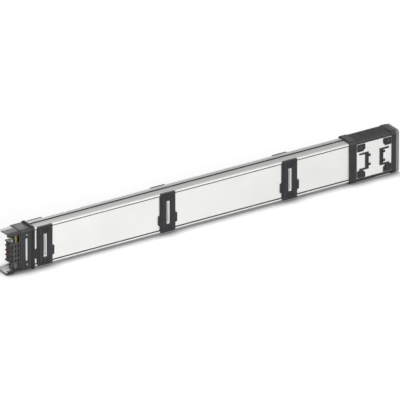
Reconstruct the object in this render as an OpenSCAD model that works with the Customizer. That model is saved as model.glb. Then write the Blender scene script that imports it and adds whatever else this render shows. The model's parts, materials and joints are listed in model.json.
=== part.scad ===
// Plug-in busbar trunking: a straight length with tap-off outlets on both sides.
// Millimetres. +X runs along the length, -Y is the front, +Z is up. The origin lies
// under the middle of the part, on the level that it stands on.

/* [Length] */
// Effective length, from one joint line to the next
effective_l = 1500; // [1400:10:2400]
// How far the joint sleeve reaches over the next length
overlap_l = 102; // [98:1:112]

/* [Casing] */
// Height of the folded casing
casing_h = 146; // [144:1:170]
// Depth of the folded casing, front to rear
casing_d = 62; // [60:1:80]
// Thickness of the casing sheet
sheet_t = 1.2; // [0.8:0.1:1.6]
// Outside radius of the long folded edges
fold_r = 4; // [3:0.5:5]
// Height of the edge rails above and below each side panel
rail_h = 7; // [6:0.5:9]
// How far each side panel is set back between its rails
panel_inset = 1.8; // [0.8:0.1:2.2]
// Distance of the upper seam from the rear face
seam_back = 25.4; // [22:0.2:28]
// Distance of the lower seam from the rear face
seam_low_back = 10; // [8:0.5:12]
// Width of the seams and of the seals in them
seam_w = 4; // [3:0.2:5]
// How far the rear shell's flanges lap under the front shell's
seam_lap = 12; // [8:1:12]
// How far the seals stand out of their seams
seal_rise = 2; // [0.4:0.1:2]

/* [Conductors] */
// Width of the busbars, front to rear
bar_w = 26; // [20:1:30]
// Thickness of the busbars
bar_t = 5; // [4:0.5:6]
// Distance between the busbars, centre to centre
bar_pitch = 17.5; // [17:0.5:18]
// Height of the lowest busbar's centre above the casing's underside
bar_first = 38; // [35:0.5:39]
// How far the busbars stop short of the next length's shells
bar_back = 5; // [3:0.5:8]
// Thickness of the contact plates above and below each bar end
contact_t = 3; // [2:0.25:3.5]
// Width of the contact plates
contact_w = 22; // [18:1:26]
// Thickness of the earth blades
earth_t = 3; // [2:0.5:4]

/* [Male end] */
// Length of the upper and lower tongues
tongue_l = 53; // [50:1:56]
// Distance of the joint block from the tongue ends
block_x = 26; // [22:1:27]
// Depth of the joint block between the tongues, front to rear
block_d = 48; // [46:1:52]
// Length of the joint block
block_l = 86; // [80:1:96]
// Diameter of the joint bolt
bolt_d = 10; // [8:1:12]
// Distance of the joint bolt from the tongue ends
bolt_x = 39; // [36:0.5:39.5]
// Side of the square plate under the joint bolt's head
plate_side = 26; // [22:1:27]
// Thickness of that plate
plate_t = 2; // [1.5:0.5:3]
// Width of the earth straps along the length
strap_w = 8; // [6:1:10]
// Distance of the earth straps' middle from the tongue ends
strap_x = 43; // [40:1:45]
// Length of the guide lug under the lower tongue
lug_l = 31; // [26:1:34]
// Width of the guide lug
lug_w = 6; // [5:0.5:7]
// Thickness of the slide strips on the tongues' front edges
strip_t = 2; // [1.5:0.25:2.5]

/* [Collar] */
// How far the collar's land stands out from the casing
land_rise = 3; // [2:0.25:3.5]
// Length of the collar's stop flange
stop_l = 6.5; // [5:0.5:10]
// Width of the window in each side of the collar
window_w = 10; // [6:1:14]
// Height of that window
window_h = 85; // [70:1:100]
// Distance of that window's middle from the tongue ends
window_x = 79; // [74:1:86]

/* [Outlets] */
// Distance of the first outlet's middle from the tongue ends
outlet_first = 152; // [152:1:170]
// Distance between outlets, centre to centre
outlet_pitch = 500; // [400:5:500]
// Width of each outlet's moulded frame
outlet_w = 60; // [56:1:64]
// How far each frame stands out from the casing
outlet_rise = 6; // [5:0.5:6.5]
// Width of the slot in each frame
slot_w = 13; // [11:0.5:15]
// Height of that slot
slot_h = 86; // [82:1:88]
// How far the slot's insert lies below the frame's face
insert_depth = 2.5; // [1:0.5:4]
// Width of the slit that a plug's contact comb goes into
comb_w = 5; // [4.8:0.2:7]
// Wall of the insert above and below that slit
slit_end = 3.5; // [2.5:0.5:6]
// How far a plug's contacts pass over the busbars' edges
comb_reach = 5; // [3:0.5:7]
// Width of the locating ears beside each frame
ear_w = 8; // [7:0.5:9]
// Height of the locating ears
ear_h = 35; // [25:1:40]
// Height of the ears' middle above the casing's underside
ear_z = 47; // [42:1:50]
// Diameter of the hole in each ear
ear_hole_d = 4.2; // [3:0.1:5]

/* [Joint sleeve] */
// Length of the joint sleeve without its lip
sleeve_l = 190; // [180:1:200]
// Length of the lip beyond the sleeve
lip_l = 13; // [10:1:18]
// How far the sleeve's rings stand out from the casing
ring_rise = 7; // [6.75:0.25:9]
// Width of the ring that is seated on this length's casing
seat_ring_l = 27; // [22:1:30]
// Width of the ring at the sleeve's mouth
mouth_ring_l = 20; // [16:1:24]
// Thickness of the sleeve's covers and side plates
cover_t = 1.5; // [1:0.1:1.6]
// Height of the covers' shoulders above and below each side plate
shoulder_h = 12; // [9:1:14]
// How far the side plates are let into the two rings
cover_lap = 8; // [5:1:10]
// Height of the covers' legs behind the side plates
leg_h = 36; // [34:1:42]
// Distance of the corner screws from the side plates' visible edges
screw_inset = 15; // [14:1:17]
// Diameter of the corner screws' heads
screw_head_d = 14; // [10:1:16]
// Height of the clamp under each corner screw
clamp_w = 27; // [22:1:28]
// How much longer than high each clamp is
clamp_more = 6; // [0:1:8]
// Thickness of those clamps
clamp_t = 2; // [1.5:0.25:3]
// Distance of the brackets from the clamps above them
bracket_above = 7; // [3:1:12]
// Distance of the brackets from the clamps below them
bracket_below = 1; // [1:1:10]
// Width of each bracket, arms included
bracket_w = 38; // [30:1:42]
// Width of each bracket's upright
upright_w = 14; // [8:1:16]
// Distance between the two uprights
bracket_gap = 46; // [40:1:50]
// Thickness of the brackets
bracket_t = 2.4; // [1.5:0.1:3]
// Length of the catches on each bracket's upright
catch_l = 8; // [4:1:10]

/* [Fits] */
// Clearance between the collar's land and the next length's sleeve
fit_gap = 0.5; // [0.3:0.1:0.6]
// Clearance of the joint bolt in what it passes through
bolt_gap = 0.3; // [0.2:0.1:0.5]
// Clearance of the bolt's plate in the notch of the next length's sleeve
notch_gap = 2; // [1:0.5:3]

/* [Hidden] */
$fn = 48;

// A cut that has to pass a face runs this far beyond it
over = 1;

overall_l = effective_l + overlap_l;
left = -overall_l / 2;                  // the tongue ends
right = overall_l / 2;                  // the sleeve's lip
joint = left + effective_l;             // where the next length's tongues end
low = ring_rise;                        // the casing's underside
high = low + casing_h;                  // the casing's top
middle = low + casing_h / 2;
panel_h = casing_h - 2 * rail_h;
panel_in = casing_d / 2 - panel_inset - sheet_t;    // inner face of a side panel

casing_end = joint - 4;                 // the shells stop just short of the next tongues
seam_y = casing_d / 2 - seam_back;
seam_low_y = casing_d / 2 - seam_low_back;

stop_x = left + overlap_l + fit_gap;    // the face that the next sleeve's lip stops at
collar_end = stop_x + stop_l;

bar_gap = bar_t + 2 * contact_t;        // what a bar and its two contact plates fill
fin_t = bar_pitch - bar_gap;            // moulding between two of those
bars_meet = block_x + block_l / 2;      // from the tongue ends, inside the joint block
bar_left = left + bars_meet + 1;
bar_right = joint + bars_meet - bar_back;
bar_slot_w = bolt_d + 2;
block_left = left + block_x;
block_right = block_left + block_l;
fin_tip = 5;                            // how far the fins reach past the first posts
post_w = 5;
post_pitch = (tongue_l - block_x - fin_tip) / 2;
lead_in = 2;                            // how far the fins' tips are tapered, each side
end_wall = 4;                           // moulding beyond each end of the contact plates
nut_h = 0.8 * bolt_d;
washer_t = 1.5;
lug_out = casing_d / 2 - fold_r;        // the lug stands on the flat of the tongue
lug_gap = 1.5;                          // clearance of the lug in the next sleeve's slot
strip_end = left + tongue_l - 1;
stack_low = low + bar_first - bar_gap / 2 - fin_t;
stack_high = low + bar_first + 3 * bar_pitch + bar_gap / 2 + fin_t;
earth_z = low + bar_first + 4 * bar_pitch;
carrier_high = earth_z + bar_gap / 2 + fin_t;
carrier_l = 56;
blade_wing = 9;                         // width of an earth blade's wings

slot_z = low + bar_first + 2 * bar_pitch;
slit_h = slot_h - 2 * slit_end;
slot_collar = 4;                        // wall of a frame's collar in the casing's cut-out
plinth = 2;                             // height of a frame's upper step
pocket_w = 32;
grip_w = 9;                             // ribbed strips on both sides of a slot
grip_pitch = 8;

sleeve_right = right - lip_l;
sleeve_left = sleeve_right - sleeve_l;
cover_in = land_rise + fit_gap;         // clear of the next length's collar
cover_out = cover_in + cover_t;
side_out = cover_out + cover_t;
plate_left = sleeve_left + seat_ring_l;
plate_right = sleeve_right - mouth_ring_l;
plate_mid = (plate_left + plate_right) / 2;
cover_top = high + cover_in;
cover_low = low - cover_in;
plate_top = cover_top - shoulder_h;
plate_low = cover_low + shoulder_h;
lip_t = 2;
lip_seat = 6;                           // how deep the lip is let into the mouth ring
rib_rise = 1.5;                         // ribs along the covers, no prouder than the rings
rib_w = 2.4;
rib_pitch = 12;
screw_d = 5;
screw_rise = 2;
clamp_reach = screw_inset + clamp_w / 2;    // from a side plate's edge to its clamps' far edge
bracket_high = plate_top - clamp_reach - bracket_above;
bracket_low = plate_low + clamp_reach + bracket_below;
bracket_arm = 6;

function bar_z(n) = low + bar_first + (n - 1) * bar_pitch;
function outlet_x(n) = left + outlet_first + (n - 1) * outlet_pitch;

// ---- placing ---------------------------------------------------------------

// Extrudes an outline drawn in (y, z) along the length
module along(from, to)
    translate([from, 0, 0]) rotate([90, 0, 90]) linear_extrude(to - from) children();

// Extrudes an outline drawn in (x, z) outwards from the casing's front face
module outward(from, to)
    translate([0, -casing_d / 2 - from, 0]) rotate([90, 0, 0]) linear_extrude(to - from) children();

module to_rear() mirror([0, 1, 0]) children();

module rounded(w, h, r) {
    square([w - 2 * r, h], center = true);
    square([w, h - 2 * r], center = true);
    for (sx = [-1, 1], sy = [-1, 1])
        translate([sx * (w / 2 - r), sy * (h / 2 - r)]) circle(r);
}

// ---- casing ----------------------------------------------------------------

// The casing's outline grown by rise, without the set-back of the side panels
module body_outline(rise)
    translate([0, middle]) rounded(casing_d + 2 * rise, casing_h + 2 * rise, fold_r + rise);

module casing_outline() difference() {
    body_outline(0);
    for (side = [-1, 1]) translate([side * casing_d / 2, middle])
        square([2 * panel_inset, panel_h], center = true);
}

module casing_bore() difference() {
    body_outline(-sheet_t);
    for (side = [-1, 1]) translate([side * (casing_d / 2 - sheet_t), middle])
        square([2 * panel_inset, panel_h + 2 * sheet_t], center = true);
}

module casing_sheet() difference() {
    casing_outline();
    casing_bore();
}

module front_section() difference() {
    casing_sheet();
    translate([seam_y - seam_w / 2, middle]) square([casing_d, casing_h]);
    translate([seam_low_y - seam_w / 2, low - over]) square([casing_d, casing_h / 2 + 2 * over]);
}

// The rear shell's flanges step inwards and lap under the front shell's
module rear_section() {
    difference() {
        casing_sheet();
        translate([seam_y + seam_w / 2 - casing_d, middle]) square([casing_d, casing_h]);
        translate([seam_low_y + seam_w / 2 - casing_d, low - over])
            square([casing_d, casing_h / 2 + 2 * over]);
    }
    flange_step(seam_y, high - 2 * sheet_t, high - 1.5 * sheet_t);
    flange_step(seam_low_y, low + sheet_t, low + 0.5 * sheet_t);
}

// The part of a flange that laps under the other shell, and the step that joins it on
module flange_step(y, lap_z, step_z) {
    translate([y - seam_lap, lap_z]) square([seam_lap + seam_w / 2 + 2 * sheet_t, sheet_t]);
    translate([y + seam_w / 2, step_z]) square([2 * sheet_t, sheet_t]);
}

module shell_cuts() {
    // The sides stop short of the tongues
    translate([left - over, -casing_d, low + rail_h])
        cube([tongue_l + over, 2 * casing_d, panel_h]);
    for (n = [1:3]) translate([outlet_x(n), 0, slot_z])
        cube([slot_w + 2 * slot_collar, 2 * casing_d, slot_h + 2 * slot_collar], center = true);
    translate([left + bolt_x, 0, low - over])
        cylinder(d = bolt_d + 2 * bolt_gap, h = casing_h / 2);
    for (x = [lug_l / 4, 3 * lug_l / 4])
        translate([left + 1 + x, lug_w / 2 - lug_out, low - over]) cylinder(d = 3.6, h = rail_h);
}

module front_shell() color("ivory") difference() {
    along(left, casing_end) front_section();
    shell_cuts();
}

module rear_shell() color("ivory") difference() {
    along(left, casing_end) rear_section();
    shell_cuts();
}

module seal(y, z, up) translate([y, z]) {
    translate([-seam_w / 2, up > 0 ? -sheet_t : 0]) square([seam_w, sheet_t]);
    intersection() {
        circle(d = seam_w);
        translate([-seam_w / 2, up > 0 ? 0 : -seal_rise]) square([seam_w, seal_rise]);
    }
}

module top_seal() color("black")
    along(collar_end, sleeve_left) seal(seam_y, high, 1);

module bottom_seal() color("black")
    along(collar_end, sleeve_left) seal(seam_low_y, low, -1);

// ---- conductors and what carries them ---------------------------------------

// The right-hand end is slotted, so that it slides past the next length's joint bolt
module busbar(n) color("silver") difference() {
    translate([bar_left, -bar_w / 2, bar_z(n) - bar_t / 2])
        cube([bar_right - bar_left, bar_w, bar_t]);
    translate([joint + bolt_x - 2, 0, bar_z(n) - bar_t]) {
        cylinder(d = bar_slot_w, h = 2 * bar_t);
        translate([0, -bar_slot_w / 2, 0]) cube([bar_right - joint, bar_slot_w, 2 * bar_t]);
    }
}

module bar_holes(from, to) for (n = [1:4])
    translate([from, -bar_w / 2, bar_z(n) - bar_t / 2]) cube([to - from, bar_w, bar_t]);

module earth_blade_shape(x) {
    wing_x = carrier_l / 2 - 3 - blade_wing / 2;
    translate([x, 0, earth_z]) {
        cube([2 * wing_x, bar_w, earth_t], center = true);
        for (side = [-1, 1]) translate([side * wing_x, 0, 0])
            cube([blade_wing, 2 * panel_in, earth_t], center = true);
    }
}

module earth_blade(n) color("goldenrod") earth_blade_shape(outlet_x(n));

// One moulding holds the bars at an outlet and guides a plug's contact comb to them
module bar_carrier(n) color("dimgray") difference() {
    translate([outlet_x(n) - carrier_l / 2, -panel_in, stack_low])
        cube([carrier_l, 2 * panel_in, carrier_high - stack_low]);
    bar_holes(outlet_x(n) - carrier_l, outlet_x(n) + carrier_l);
    earth_blade_shape(outlet_x(n));
    for (side = [-1, 1])
        translate([outlet_x(n), side * (bar_w / 2 - comb_reach + casing_d / 2), slot_z])
            cube([comb_w + 2, casing_d, slit_h], center = true);
}

module end_carrier() color("dimgray") difference() {
    translate([casing_end - carrier_l, -panel_in, stack_low])
        cube([carrier_l - 12, 2 * panel_in, stack_high - stack_low]);
    bar_holes(casing_end - 2 * carrier_l, casing_end);
}

// ---- male end ----------------------------------------------------------------

// The plates lie on both faces of a bar. Their tips open to let in the next one, and are
// split up to the bolt, so that they press on both halves of its slotted end.
module contacts(n) color("peru") difference() {
    tip_gap = bar_t / 2 + 1.2;
    for (up = [0, 1]) translate([block_left, contact_w / 2, bar_z(n)]) mirror([0, 0, up])
        rotate([90, 0, 0]) linear_extrude(contact_w) polygon([
            [end_wall, tip_gap], [end_wall + 5, bar_t / 2], [block_l - end_wall, bar_t / 2],
            [block_l - end_wall, bar_gap / 2], [end_wall, bar_gap / 2]]);
    translate([left + bolt_x, 0, bar_z(n) - bar_gap]) {
        cylinder(d = bolt_d + 1, h = 2 * bar_gap);
        translate([-block_l, -1, 0]) cube([block_l, 2, 2 * bar_gap]);
    }
}

// A gap between two fins: it widens at the tip, and windows leave posts down both sides
module block_gap(n) translate([block_left, 0, bar_z(n)]) {
    translate([-over, -bar_w / 2, -bar_gap / 2]) cube([block_l + 2 * over, bar_w, bar_gap]);
    for (k = [0:2]) translate([fin_tip - (post_pitch - post_w) + k * post_pitch, -block_d, -bar_gap / 2])
        cube([post_pitch - post_w, 2 * block_d, bar_gap]);
    rotate([90, 0, 0]) linear_extrude(2 * block_d, center = true) polygon([
        [0, -bar_gap / 2 - lead_in], [fin_tip, -bar_gap / 2], [fin_tip, bar_gap / 2],
        [0, bar_gap / 2 + lead_in], [-over, bar_gap / 2 + lead_in], [-over, -bar_gap / 2 - lead_in]]);
}

// A comb of fins with posts down its sides: the bars' ends meet between the fins
module joint_block() color("dimgray") difference() {
    union() {
        translate([block_left, -block_d / 2, stack_low])
            cube([tongue_l - block_x + over, block_d, stack_high - stack_low]);
        translate([left + tongue_l, -panel_in, stack_low])
            cube([block_right - left - tongue_l, 2 * panel_in, stack_high - stack_low]);
        translate([left + bolt_x, 0, low + sheet_t])
            cylinder(d = bolt_d + 7, h = stack_low - low);
    }
    for (n = [1:4]) block_gap(n);
    translate([left + bolt_x, 0, low]) cylinder(d = bolt_d + 2 * bolt_gap, h = casing_h);
}

module bolt_plate() color("silver") difference() {
    translate([left + bolt_x - plate_side / 2, -plate_side / 2, low - plate_t])
        cube([plate_side, plate_side, plate_t]);
    translate([left + bolt_x, 0, low - 2 * plate_t])
        cylinder(d = bolt_d + 2 * bolt_gap, h = 4 * plate_t);
}

module hexagon(z, h) translate([left + bolt_x, 0, z])
    cylinder(d = 1.96 * bolt_d, h = h, $fn = 6);

module joint_bolt() color("gray") {
    shank_low = low - plate_t - over;
    hexagon(0, low - plate_t);
    translate([left + bolt_x, 0, shank_low])
        cylinder(d = bolt_d, h = stack_high + washer_t + nut_h + over - shank_low);
}

module joint_nut() color("gray") difference() {
    union() {
        hexagon(stack_high + washer_t, nut_h);
        translate([left + bolt_x, 0, stack_high]) cylinder(d = 2.1 * bolt_d, h = washer_t);
    }
    translate([left + bolt_x, 0, stack_high - over]) cylinder(d = bolt_d, h = 2 * bolt_d);
}

// Two strips bent to a Z: each foot is on the block, and each arm springs to the upper tongue
module earth_strap() color("goldenrod") {
    strip = 1.6;
    foot = 9;
    hook = 6;
    arm_y = block_d / 2 - 4;
    arm_h = high - sheet_t - stack_high;
    along(left + strap_x - strap_w / 2, left + strap_x + strap_w / 2) for (side = [0, 1])
        mirror([side, 0]) translate([arm_y, stack_high]) {
            translate([-strip / 2, 0]) square([strip, arm_h]);
            translate([-foot, 0]) square([foot, strip]);
            translate([-hook, arm_h - strip]) square([hook, strip]);
        }
}

// The section of a strip that keeps the lower tongue clear of the sleeve that it slides into.
// It lies under the tongue up to the given y, goes round the fold and hooks over its edge.
module strip_section(inner) difference() {
    intersection() {
        body_outline(strip_t);
        union() {
            translate([-casing_d, low - casing_d]) square([casing_d + inner, casing_d]);
            translate([-casing_d, low - over])
                square([casing_d - panel_in + strip_t, rail_h + strip_t + over]);
        }
    }
    intersection() {
        body_outline(0);
        translate([-casing_d, low]) square([2 * casing_d, rail_h - sheet_t]);
    }
    translate([-casing_d / 2, low]) square([casing_d / 2 - panel_in, rail_h]);
}

// The upper strip reaches over the tongue's top as far as the seam
module guide_strip() color("dimgray") along(left + 1, strip_end)
    translate([0, 2 * middle]) mirror([0, 1]) strip_section(seam_y - seam_w / 2);

// The lower strip carries a lug, with two pins through the tongue's sheet. It guides the length
// into the next sleeve, and on one side only it keeps it from going in the wrong way round.
module guide_lug() color("dimgray") {
    along(left + 1, strip_end) strip_section(lug_w - lug_out);
    translate([left + 1, -lug_out, 0]) {
        cube([lug_l, lug_w, low]);
        for (x = [lug_l / 4, 3 * lug_l / 4]) translate([x, lug_w / 2, low - over]) {
            cylinder(d = 3.6, h = sheet_t + 2 * over);
            translate([0, 0, sheet_t + over]) cylinder(d = lug_w, h = 1.4);
        }
    }
}

module end_collar() color("dimgray") difference() {
    union() {
        along(left + tongue_l, collar_end) body_outline(land_rise);
        along(stop_x, collar_end) body_outline(ring_rise);
    }
    along(left, collar_end + over) casing_outline();
    for (side = [-1, 1]) translate([left + window_x, side * casing_d / 2, middle])
        cube([window_w, 2 * (land_rise + over), window_h], center = true);
}

// ---- tap-off outlets -----------------------------------------------------------

module at_slot(n) translate([outlet_x(n), slot_z]) children();

module outlet_frame(n) difference() {
    union() {
        outward(-fold_r, outlet_rise - plinth)
            translate([outlet_x(n), middle]) rounded(outlet_w, casing_h, 3);
        outward(-fold_r, outlet_rise)
            translate([outlet_x(n), middle]) rounded(outlet_w - 12, casing_h - 10, 4);
        outward(-panel_inset - sheet_t, 0)
            at_slot(n) square([slot_w + 2 * slot_collar, slot_h + 2 * slot_collar], center = true);
        outward(-panel_inset, outlet_rise - plinth - 1)
            translate([outlet_x(n), low + ear_z]) rounded(outlet_w + 2 * ear_w, ear_h, 3);
    }
    // The frame fits the casing's side and goes through its cut-out
    difference() {
        along(outlet_x(n) - outlet_w, outlet_x(n) + outlet_w) casing_outline();
        outward(-panel_inset - sheet_t, over)
            at_slot(n) square([slot_w + 2 * slot_collar, slot_h + 2 * slot_collar], center = true);
    }
    outward(-casing_d / 2, outlet_rise + over) at_slot(n) square([slot_w, slot_h], center = true);
    pocket(n, slot_z + slot_h / 2, high);
    pocket(n, low, slot_z - slot_h / 2);
    for (side = [-1, 1]) grip(n, side);
    for (side = [-1, 1]) outward(-2 * panel_inset, outlet_rise)
        translate([outlet_x(n) + side * (outlet_w + ear_w) / 2, low + ear_z]) circle(d = ear_hole_d);
}

// A shallow moulded pocket between two heights of a frame's face, with ribs left standing
module pocket(n, from, to) difference() {
    outward(outlet_rise - plinth, outlet_rise + over)
        translate([outlet_x(n), (from + to) / 2]) rounded(pocket_w, to - from - 14, 2);
    for (x = [-10, 0, 10]) outward(0, outlet_rise + over)
        translate([outlet_x(n) + x, (from + to) / 2]) square([2.4, casing_h], center = true);
}

// A ribbed strip beside the slot
module grip(n, side) outward(outlet_rise - 1, outlet_rise + over)
    translate([outlet_x(n) + side * (slot_w / 2 + 3 + grip_w / 2), slot_z]) difference() {
        square([grip_w, slot_h - 8], center = true);
        for (k = [-4:4]) translate([0, k * grip_pitch]) square([grip_w + over, 3], center = true);
    }

module outlet_insert(n) difference() {
    outward(-casing_d / 2 + panel_in, outlet_rise - insert_depth)
        at_slot(n) square([slot_w, slot_h], center = true);
    outward(-casing_d / 2, outlet_rise) at_slot(n) square([comb_w, slit_h], center = true);
}

module outlet_front(n) color("dimgray") outlet_frame(n);
module outlet_rear(n) color("dimgray") to_rear() outlet_frame(n);
module insert_front(n) color("gainsboro") outlet_insert(n);
module insert_rear(n) color("gainsboro") to_rear() outlet_insert(n);

// ---- joint sleeve ----------------------------------------------------------------

// The room that the covers and side plates take up in the two rings
module cover_room() along(plate_left - cover_lap, plate_right + cover_lap) difference() {
    union() {
        body_outline(cover_out);
        translate([0, middle]) square([casing_d + 2 * side_out, plate_top - plate_low], center = true);
        cover_ribs();
    }
    body_outline(cover_in);
}

// Ribs along the covers' tops, drawn in (y, z)
module cover_ribs() for (k = [-1.5:1.5], side = [-1, 1])
    translate([k * rib_pitch, middle + side * (cover_top + cover_t - middle + rib_rise / 2 - 0.25)])
        square([rib_w, rib_rise + 0.5], center = true);

module seat_ring() color("dimgray") difference() {
    along(sleeve_left, plate_left) body_outline(ring_rise);
    along(sleeve_left - over, plate_left + over) casing_outline();
    cover_room();
}

// The sleeve's floor is open where the next length's bolt slides in and can be turned. Its
// guide lug goes on from there in a slot.
module floor_cuts() {
    notch = plate_side / 2 + notch_gap;
    front = lug_out + lug_gap;
    translate([joint + bolt_x - notch, -front, -over]) cube([overlap_l, front + notch, low + over]);
    translate([joint - notch_gap, -front, -over])
        cube([overlap_l, lug_w + 2 * lug_gap, low + over]);
}

module mouth_ring() color("dimgray") difference() {
    along(plate_right, sleeve_right) body_outline(ring_rise);
    along(plate_right - over, right + over) body_outline(cover_in);
    along(sleeve_right - lip_seat, right) body_outline(cover_in + lip_t);
    cover_room();
    floor_cuts();
}

// A lip of softer grey moulding, let into the ring: the next length's collar stops against it
module mouth_lip() color("silver") difference() {
    along(sleeve_right - lip_seat, right) body_outline(cover_in + lip_t);
    along(plate_right, right + over) body_outline(cover_in);
    floor_cuts();
}

module cover_section() difference() {
    union() {
        body_outline(cover_out);
        cover_ribs();
    }
    body_outline(cover_in);
}

module screw_holes() outward(-2 * casing_d, casing_d) at_corners() circle(d = screw_d);

module top_cover() color("dimgray") difference() {
    along(plate_left - cover_lap, plate_right + cover_lap) cover_section();
    translate([left, -casing_d, cover_top - leg_h - overall_l])
        cube([overall_l, 2 * casing_d, overall_l]);
    screw_holes();
}

module bottom_cover() color("dimgray") difference() {
    along(plate_left - cover_lap, plate_right + cover_lap) cover_section();
    translate([left, -casing_d, cover_low + leg_h]) cube([overall_l, 2 * casing_d, overall_l]);
    screw_holes();
    floor_cuts();
}

module side_plate() difference() {
    outward(cover_out, side_out)
        translate([plate_left - cover_lap, plate_low])
            square([plate_right - plate_left + 2 * cover_lap, plate_top - plate_low]);
    screw_holes();
}

module side_plate_front() color("ivory") side_plate();
module side_plate_rear() color("ivory") to_rear() side_plate();

// Two channels, back to back, both with two catches on their right: outside the left one's
// upright and inside the right one's
module brackets() for (side = [-1, 1]) outward(side_out, side_out + bracket_t) {
    near = side * bracket_gap / 2;
    far = side * (bracket_gap / 2 + upright_w);
    translate([plate_mid + min(near, far), bracket_low]) square([upright_w, bracket_high - bracket_low]);
    for (z = [bracket_low, bracket_high - bracket_arm])
        translate([plate_mid + min(near, near + side * bracket_w), z]) square([bracket_w, bracket_arm]);
    for (z = [bracket_low + 2 * bracket_arm, bracket_high - 3 * bracket_arm])
        translate([plate_mid + max(near, far) - over, z]) square([catch_l + over, bracket_arm + 2]);
}

module brackets_front() color("dimgray") brackets();
module brackets_rear() color("dimgray") to_rear() brackets();

// Sets its child at each corner of a side plate, drawn for the upper right one
module at_corners() for (sx = [-1, 1], sz = [-1, 1])
    translate([plate_mid + sx * ((plate_right - plate_left) / 2 - screw_inset),
               middle + sz * ((plate_top - plate_low) / 2 - screw_inset)])
        mirror([sx < 0 ? 1 : 0, 0]) mirror([0, sz < 0 ? 1 : 0]) children();

// A clamp whose inner corner is cut off
module clamps() outward(side_out, side_out + clamp_t) at_corners() difference() {
    translate([-clamp_more / 2, 0]) rounded(clamp_w + clamp_more, clamp_w, 3);
    translate([-clamp_w / 2 - clamp_more, -clamp_w / 2])
        rotate(45) square(clamp_w / 2, center = true);
    circle(d = screw_d);
}

module screws() {
    outward(side_out + clamp_t, side_out + clamp_t + screw_rise)
        at_corners() circle(d = screw_head_d);
    outward(cover_in, side_out + clamp_t + over) at_corners() circle(d = screw_d);
}

module clamps_front() color("dimgray") clamps();
module clamps_rear() color("dimgray") to_rear() clamps();
module screws_front() color("gray") screws();
module screws_rear() color("gray") to_rear() screws();

front_shell();
rear_shell();
top_seal();
bottom_seal();
busbar(1);  // busbar_1
busbar(2);  // busbar_2
busbar(3);  // busbar_3
busbar(4);  // busbar_4
bar_carrier(1);  // bar_carrier_1
bar_carrier(2);  // bar_carrier_2
bar_carrier(3);  // bar_carrier_3
end_carrier();
earth_blade(1);  // earth_blade_1
earth_blade(2);  // earth_blade_2
earth_blade(3);  // earth_blade_3
joint_block();
contacts(1);  // contacts_1
contacts(2);  // contacts_2
contacts(3);  // contacts_3
contacts(4);  // contacts_4
joint_bolt();
bolt_plate();
joint_nut();
earth_strap();
guide_strip();
guide_lug();
end_collar();
outlet_front(1);  // outlet_front_1
outlet_front(2);  // outlet_front_2
outlet_front(3);  // outlet_front_3
outlet_rear(1);  // outlet_rear_1
outlet_rear(2);  // outlet_rear_2
outlet_rear(3);  // outlet_rear_3
insert_front(1);  // insert_front_1
insert_front(2);  // insert_front_2
insert_front(3);  // insert_front_3
insert_rear(1);  // insert_rear_1
insert_rear(2);  // insert_rear_2
insert_rear(3);  // insert_rear_3
seat_ring();
mouth_ring();
mouth_lip();
top_cover();
bottom_cover();
side_plate_front();
side_plate_rear();
brackets_front();
brackets_rear();
clamps_front();
clamps_rear();
screws_front();
screws_rear();
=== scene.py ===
# %% [markdown]
# # A length of plug-in busbar trunking
#
# Busbar trunking carries power through a building in place of thick cables. This length is a
# slim sheet-steel casing with four flat bars inside, three outlets on each face for tap-off
# units, a joint block with two tongues at the left end and a joint sleeve at the right end.
# The casing, the mouldings and the bars come from the CAD model and stay as they are. This
# script gives every one of them its finish, and adds the small fasteners and seals that a
# maker would fit: rivets, screws with driving recesses, threads and rubber lips.

# %% Load the frame
import json
import math

import bmesh
import bpy
import numpy as np
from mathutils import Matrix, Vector


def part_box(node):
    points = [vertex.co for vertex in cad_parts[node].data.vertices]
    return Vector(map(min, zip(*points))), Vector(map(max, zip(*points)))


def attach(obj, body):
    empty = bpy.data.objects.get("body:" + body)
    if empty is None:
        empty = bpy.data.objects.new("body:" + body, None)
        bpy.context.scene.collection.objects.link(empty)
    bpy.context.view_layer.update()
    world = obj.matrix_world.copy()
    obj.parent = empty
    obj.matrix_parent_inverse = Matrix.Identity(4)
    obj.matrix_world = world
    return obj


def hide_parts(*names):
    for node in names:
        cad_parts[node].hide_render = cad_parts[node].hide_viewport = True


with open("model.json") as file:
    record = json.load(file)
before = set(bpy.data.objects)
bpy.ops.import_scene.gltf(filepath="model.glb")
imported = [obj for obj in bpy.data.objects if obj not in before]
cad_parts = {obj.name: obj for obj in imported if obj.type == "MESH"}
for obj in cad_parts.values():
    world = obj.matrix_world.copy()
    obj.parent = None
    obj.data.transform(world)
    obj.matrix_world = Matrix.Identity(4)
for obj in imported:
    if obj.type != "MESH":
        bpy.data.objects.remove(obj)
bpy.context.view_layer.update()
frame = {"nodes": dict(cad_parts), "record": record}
nodes = frame["nodes"]

MM = 0.001


def corners(node):
    """Lowest and highest corner of a CAD node, as numpy arrays in metres."""
    low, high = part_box(node)
    return np.array(low), np.array(high)


# %% [markdown]
# ## The camera
#
# Line drawings of long parts are parallel views: edges that run along the part stay parallel.
# A very long lens far away gives nearly the same picture, and still lets the camera be moved
# round the part later. The view looks from the left front, a little above, and is so wide
# that the part just fills it from side to side.

# %% Aim the camera
VIEW_AZIMUTH = math.radians(-33.0)
VIEW_ELEVATION = math.radians(24.3)
LENS_MM = 1600.0
SENSOR_MM = 36.0
PICTURE_WIDTH = 1.3745
AIM = Vector((0.0043, 0.0, 0.0749))

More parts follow.
